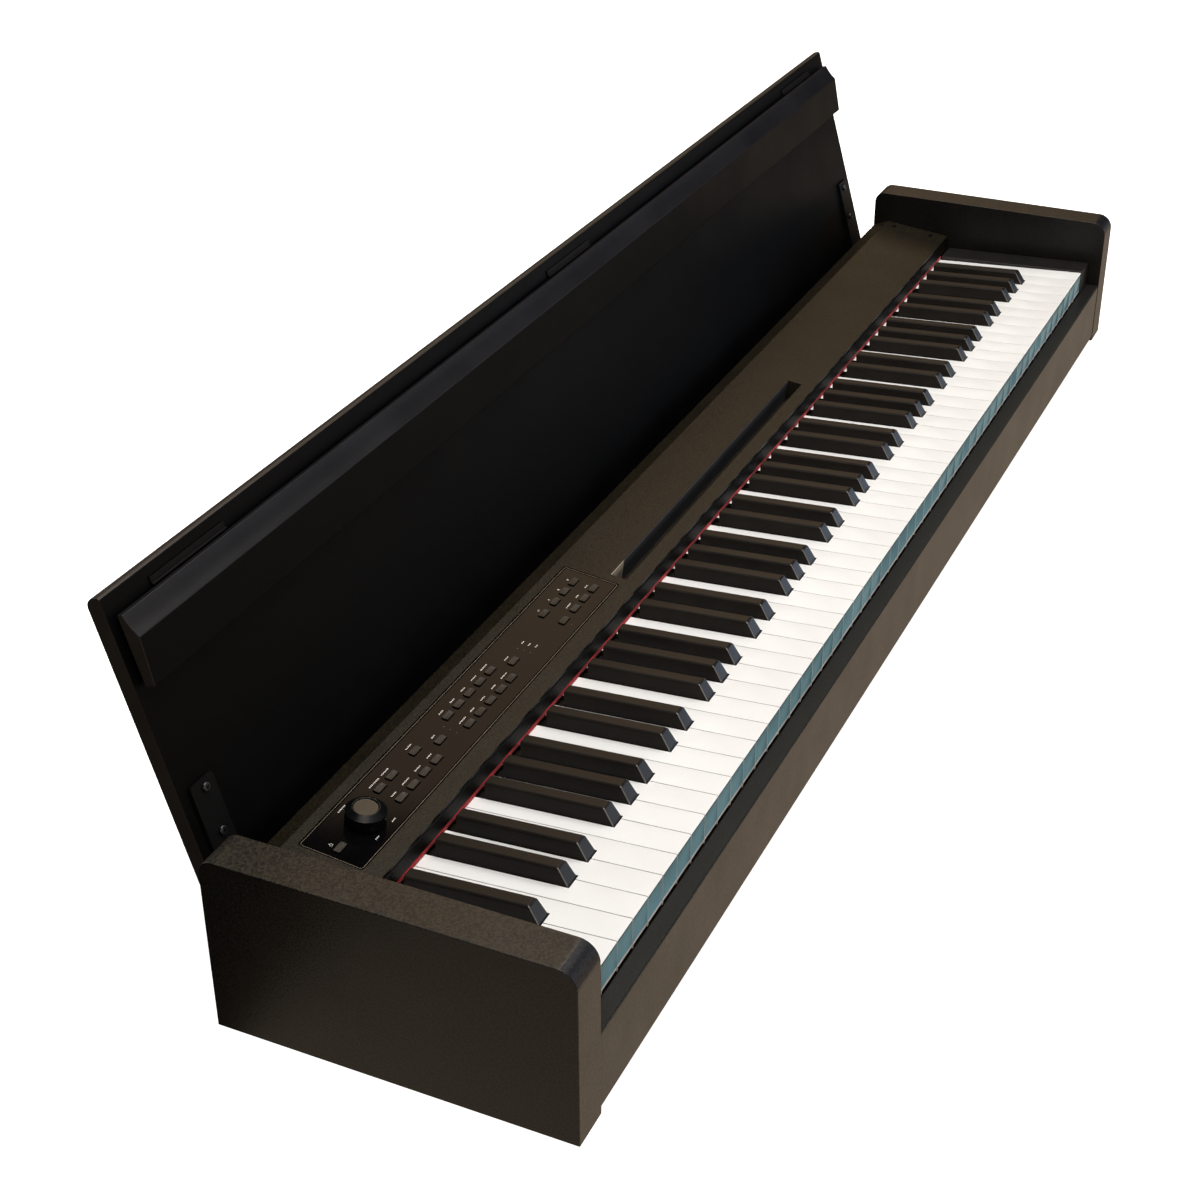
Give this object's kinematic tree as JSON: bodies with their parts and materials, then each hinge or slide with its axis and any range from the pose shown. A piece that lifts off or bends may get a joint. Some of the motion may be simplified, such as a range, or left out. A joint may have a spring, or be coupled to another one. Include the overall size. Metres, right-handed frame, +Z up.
{
  "type": "digital piano",
  "caption": "Slim home digital piano: full keyboard between end panels, control overlay with buttons and a knob, music rest groove, hinged lid with a folding front flap.",
  "frame": {"origin": "middle of the box, under it, on the surface that the end panels stand on, with the lid open", "axes": "+X from bass to treble, +Y away from the player, +Z up"},
  "size_m": [1.346, 0.3392, 0.2813],
  "materials": {
    "cabinet_finish": "matte, fine texture",
    "board": "raw board",
    "lid_finish": "satin black",
    "dark_plastic": "matte",
    "gloss_black": "gloss",
    "key_white": "gloss",
    "key_black": "satin",
    "felt": "felt",
    "steel": "brushed",
    "circuit_board": "lacquered",
    "speaker_body": "matte"
  },
  "bodies": {
    "cabinet": {"left_end_panel": "cabinet_finish", "right_end_panel": "cabinet_finish", "left_cheek_block": "dark_plastic", "right_cheek_block": "dark_plastic", "bottom_board": "board", "back_board": "cabinet_finish", "front_board": "cabinet_finish", "key_slip": "cabinet_finish", "fallboard": "gloss_black", "key_felt": "felt", "top_panel": "cabinet_finish", "control_overlay": "gloss_black", "main_circuit_board": "circuit_board", "keybed_frame": "dark_plastic", "key_contact_board": "circuit_board", "left_speaker": "speaker_body", "right_speaker": "speaker_body", "left_hinge_bracket": "steel", "right_hinge_bracket": "steel", "jack_panel": "dark_plastic"},
    "lid": {"lid_board": "lid_finish", "left_hinge_arm": "steel", "right_hinge_arm": "steel", "flap_hinge_left": "steel", "flap_hinge_centre": "steel", "flap_hinge_right": "steel"},
    "flap": {"front_flap": "lid_finish"},
    "volume_knob": {"volume_knob": "dark_plastic"},
    "power_button": {"power_button": "dark_plastic"},
    "song_buttons": {"song_buttons": "dark_plastic"},
    "effect_buttons": {"effect_buttons": "dark_plastic"},
    "function_button": {"function_button": "dark_plastic"},
    "bank_button": {"bank_button": "dark_plastic"},
    "voice_buttons": {"voice_buttons": "dark_plastic"},
    "split_button": {"split_button": "dark_plastic"},
    "transport_buttons": {"transport_buttons": "dark_plastic"},
    "white_keys_octave_1": {"white_keys_octave_1": "key_white"},
    "black_keys_octave_1": {"black_keys_octave_1": "key_black"},
    "white_keys_octave_2": {"white_keys_octave_2": "key_white"},
    "black_keys_octave_2": {"black_keys_octave_2": "key_black"},
    "white_keys_octave_3": {"white_keys_octave_3": "key_white"},
    "black_keys_octave_3": {"black_keys_octave_3": "key_black"},
    "white_key_c4": {"white_key_c4": "key_white"},
    "white_key_d4": {"white_key_d4": "key_white"},
    "white_key_e4": {"white_key_e4": "key_white"},
    "white_key_f4": {"white_key_f4": "key_white"},
    "white_key_g4": {"white_key_g4": "key_white"},
    "white_key_a4": {"white_key_a4": "key_white"},
    "white_key_b4": {"white_key_b4": "key_white"},
    "black_key_c_sharp4": {"black_key_c_sharp4": "key_black"},
    "black_key_d_sharp4": {"black_key_d_sharp4": "key_black"},
    "black_key_f_sharp4": {"black_key_f_sharp4": "key_black"},
    "black_key_g_sharp4": {"black_key_g_sharp4": "key_black"},
    "black_key_a_sharp4": {"black_key_a_sharp4": "key_black"},
    "white_keys_octave_5": {"white_keys_octave_5": "key_white"},
    "black_keys_octave_5": {"black_keys_octave_5": "key_black"},
    "white_keys_octave_6": {"white_keys_octave_6": "key_white"},
    "black_keys_octave_6": {"black_keys_octave_6": "key_black"},
    "white_keys_octave_7": {"white_keys_octave_7": "key_white"},
    "black_keys_octave_7": {"black_keys_octave_7": "key_black"}
  },
  "joints": [
    {"name": "lid_hinge", "type": "hinge", "parent": "cabinet", "child": "lid", "pos_m": [0, 0.05702, 0.0761], "axis": [1, 0, 0], "range_deg": [0, 106.4]},
    {"name": "flap_hinge", "type": "hinge", "parent": "lid", "child": "flap", "pos_m": [0, 0.15504, 0.26887], "axis": [-1, 0, 0], "range_deg": [0, 90]},
    {"name": "volume_turn", "type": "hinge", "parent": "cabinet", "child": "volume_knob", "pos_m": [-0.55801, 0.0382, 0.09899], "axis": [0, -0.1106, 0.9939], "range_deg": [-150, 150]},
    {"name": "power_press", "type": "slide", "parent": "cabinet", "child": "power_button", "axis": [0, 0.1106, -0.9939], "range_m": [0, 0.001], "stiffness_N_per_m": 300, "springref_m": -0.002},
    {"name": "song_press", "type": "slide", "parent": "cabinet", "child": "song_buttons", "axis": [0, 0.1106, -0.9939], "range_m": [0, 0.001], "stiffness_N_per_m": 300, "springref_m": -0.002},
    {"name": "effect_press", "type": "slide", "parent": "cabinet", "child": "effect_buttons", "axis": [0, 0.1106, -0.9939], "range_m": [0, 0.001], "stiffness_N_per_m": 300, "springref_m": -0.002},
    {"name": "function_press", "type": "slide", "parent": "cabinet", "child": "function_button", "axis": [0, 0.1106, -0.9939], "range_m": [0, 0.001], "stiffness_N_per_m": 300, "springref_m": -0.002},
    {"name": "bank_press", "type": "slide", "parent": "cabinet", "child": "bank_button", "axis": [0, 0.1106, -0.9939], "range_m": [0, 0.001], "stiffness_N_per_m": 300, "springref_m": -0.002},
    {"name": "voice_press", "type": "slide", "parent": "cabinet", "child": "voice_buttons", "axis": [0, 0.1106, -0.9939], "range_m": [0, 0.001], "stiffness_N_per_m": 300, "springref_m": -0.002},
    {"name": "split_press", "type": "slide", "parent": "cabinet", "child": "split_button", "axis": [0, 0.1106, -0.9939], "range_m": [0, 0.001], "stiffness_N_per_m": 300, "springref_m": -0.002},
    {"name": "transport_press", "type": "slide", "parent": "cabinet", "child": "transport_buttons", "axis": [0, 0.1106, -0.9939], "range_m": [0, 0.001], "stiffness_N_per_m": 300, "springref_m": -0.002},
    {"name": "white_keys_octave_1_press", "type": "hinge", "parent": "cabinet", "child": "white_keys_octave_1", "pos_m": [-0.50525, 0.04245, 0.05788], "axis": [1, 0, 0], "range_deg": [0, 2.85], "stiffness_Nm_per_rad": 8, "springref_deg": -14.32},
    {"name": "black_keys_octave_1_press", "type": "hinge", "parent": "cabinet", "child": "black_keys_octave_1", "pos_m": [-0.5022, 0.04245, 0.05788], "axis": [1, 0, 0], "range_deg": [0, 2.85], "stiffness_Nm_per_rad": 8, "springref_deg": -14.32},
    {"name": "white_keys_octave_2_press", "type": "hinge", "parent": "cabinet", "child": "white_keys_octave_2", "pos_m": [-0.31725, 0.04245, 0.05788], "axis": [1, 0, 0], "range_deg": [0, 2.85], "stiffness_Nm_per_rad": 8, "springref_deg": -14.32},
    {"name": "black_keys_octave_2_press", "type": "hinge", "parent": "cabinet", "child": "black_keys_octave_2", "pos_m": [-0.31701, 0.04245, 0.05788], "axis": [1, 0, 0], "range_deg": [0, 2.85], "stiffness_Nm_per_rad": 8, "springref_deg": -14.32},
    {"name": "white_keys_octave_3_press", "type": "hinge", "parent": "cabinet", "child": "white_keys_octave_3", "pos_m": [-0.15275, 0.04245, 0.05788], "axis": [1, 0, 0], "range_deg": [0, 2.85], "stiffness_Nm_per_rad": 8, "springref_deg": -14.32},
    {"name": "black_keys_octave_3_press", "type": "hinge", "parent": "cabinet", "child": "black_keys_octave_3", "pos_m": [-0.15252, 0.04245, 0.05788], "axis": [1, 0, 0], "range_deg": [0, 2.85], "stiffness_Nm_per_rad": 8, "springref_deg": -14.32},
    {"name": "white_key_c4_press", "type": "hinge", "parent": "cabinet", "child": "white_key_c4", "pos_m": [-0.05875, 0.04245, 0.05788], "axis": [1, 0, 0], "range_deg": [0, 2.85], "stiffness_Nm_per_rad": 1, "springref_deg": -14.32},
    {"name": "white_key_d4_press", "type": "hinge", "parent": "cabinet", "child": "white_key_d4", "pos_m": [-0.03525, 0.04245, 0.05788], "axis": [1, 0, 0], "range_deg": [0, 2.85], "stiffness_Nm_per_rad": 1, "springref_deg": -14.32},
    {"name": "white_key_e4_press", "type": "hinge", "parent": "cabinet", "child": "white_key_e4", "pos_m": [-0.01175, 0.04245, 0.05788], "axis": [1, 0, 0], "range_deg": [0, 2.85], "stiffness_Nm_per_rad": 1, "springref_deg": -14.32},
    {"name": "white_key_f4_press", "type": "hinge", "parent": "cabinet", "child": "white_key_f4", "pos_m": [0.01175, 0.04245, 0.05788], "axis": [1, 0, 0], "range_deg": [0, 2.85], "stiffness_Nm_per_rad": 1, "springref_deg": -14.32},
    {"name": "white_key_g4_press", "type": "hinge", "parent": "cabinet", "child": "white_key_g4", "pos_m": [0.03525, 0.04245, 0.05788], "axis": [1, 0, 0], "range_deg": [0, 2.85], "stiffness_Nm_per_rad": 1, "springref_deg": -14.32},
    {"name": "white_key_a4_press", "type": "hinge", "parent": "cabinet", "child": "white_key_a4", "pos_m": [0.05875, 0.04245, 0.05788], "axis": [1, 0, 0], "range_deg": [0, 2.85], "stiffness_Nm_per_rad": 1, "springref_deg": -14.32},
    {"name": "white_key_b4_press", "type": "hinge", "parent": "cabinet", "child": "white_key_b4", "pos_m": [0.08225, 0.04245, 0.05788], "axis": [1, 0, 0], "range_deg": [0, 2.85], "stiffness_Nm_per_rad": 1, "springref_deg": -14.32},
    {"name": "black_key_c_sharp4_press", "type": "hinge", "parent": "cabinet", "child": "black_key_c_sharp4", "pos_m": [-0.04958, 0.04245, 0.05788], "axis": [1, 0, 0], "range_deg": [0, 2.85], "stiffness_Nm_per_rad": 1, "springref_deg": -14.32},
    {"name": "black_key_d_sharp4_press", "type": "hinge", "parent": "cabinet", "child": "black_key_d_sharp4", "pos_m": [-0.02091, 0.04245, 0.05788], "axis": [1, 0, 0], "range_deg": [0, 2.85], "stiffness_Nm_per_rad": 1, "springref_deg": -14.32},
    {"name": "black_key_f_sharp4_press", "type": "hinge", "parent": "cabinet", "child": "black_key_f_sharp4", "pos_m": [0.01998, 0.04245, 0.05788], "axis": [1, 0, 0], "range_deg": [0, 2.85], "stiffness_Nm_per_rad": 1, "springref_deg": -14.32},
    {"name": "black_key_g_sharp4_press", "type": "hinge", "parent": "cabinet", "child": "black_key_g_sharp4", "pos_m": [0.047, 0.04245, 0.05788], "axis": [1, 0, 0], "range_deg": [0, 2.85], "stiffness_Nm_per_rad": 1, "springref_deg": -14.32},
    {"name": "black_key_a_sharp4_press", "type": "hinge", "parent": "cabinet", "child": "black_key_a_sharp4", "pos_m": [0.07356, 0.04245, 0.05788], "axis": [1, 0, 0], "range_deg": [0, 2.85], "stiffness_Nm_per_rad": 1, "springref_deg": -14.32},
    {"name": "white_keys_octave_5_press", "type": "hinge", "parent": "cabinet", "child": "white_keys_octave_5", "pos_m": [0.17625, 0.04245, 0.05788], "axis": [1, 0, 0], "range_deg": [0, 2.85], "stiffness_Nm_per_rad": 8, "springref_deg": -14.32},
    {"name": "black_keys_octave_5_press", "type": "hinge", "parent": "cabinet", "child": "black_keys_octave_5", "pos_m": [0.17649, 0.04245, 0.05788], "axis": [1, 0, 0], "range_deg": [0, 2.85], "stiffness_Nm_per_rad": 8, "springref_deg": -14.32},
    {"name": "white_keys_octave_6_press", "type": "hinge", "parent": "cabinet", "child": "white_keys_octave_6", "pos_m": [0.34075, 0.04245, 0.05788], "axis": [1, 0, 0], "range_deg": [0, 2.85], "stiffness_Nm_per_rad": 8, "springref_deg": -14.32},
    {"name": "black_keys_octave_6_press", "type": "hinge", "parent": "cabinet", "child": "black_keys_octave_6", "pos_m": [0.34098, 0.04245, 0.05788], "axis": [1, 0, 0], "range_deg": [0, 2.85], "stiffness_Nm_per_rad": 8, "springref_deg": -14.32},
    {"name": "white_keys_octave_7_press", "type": "hinge", "parent": "cabinet", "child": "white_keys_octave_7", "pos_m": [0.517, 0.04245, 0.05788], "axis": [1, 0, 0], "range_deg": [0, 2.85], "stiffness_Nm_per_rad": 8, "springref_deg": -14.32},
    {"name": "black_keys_octave_7_press", "type": "hinge", "parent": "cabinet", "child": "black_keys_octave_7", "pos_m": [0.50548, 0.04245, 0.05788], "axis": [1, 0, 0], "range_deg": [0, 2.85], "stiffness_Nm_per_rad": 8, "springref_deg": -14.32}
  ]
}
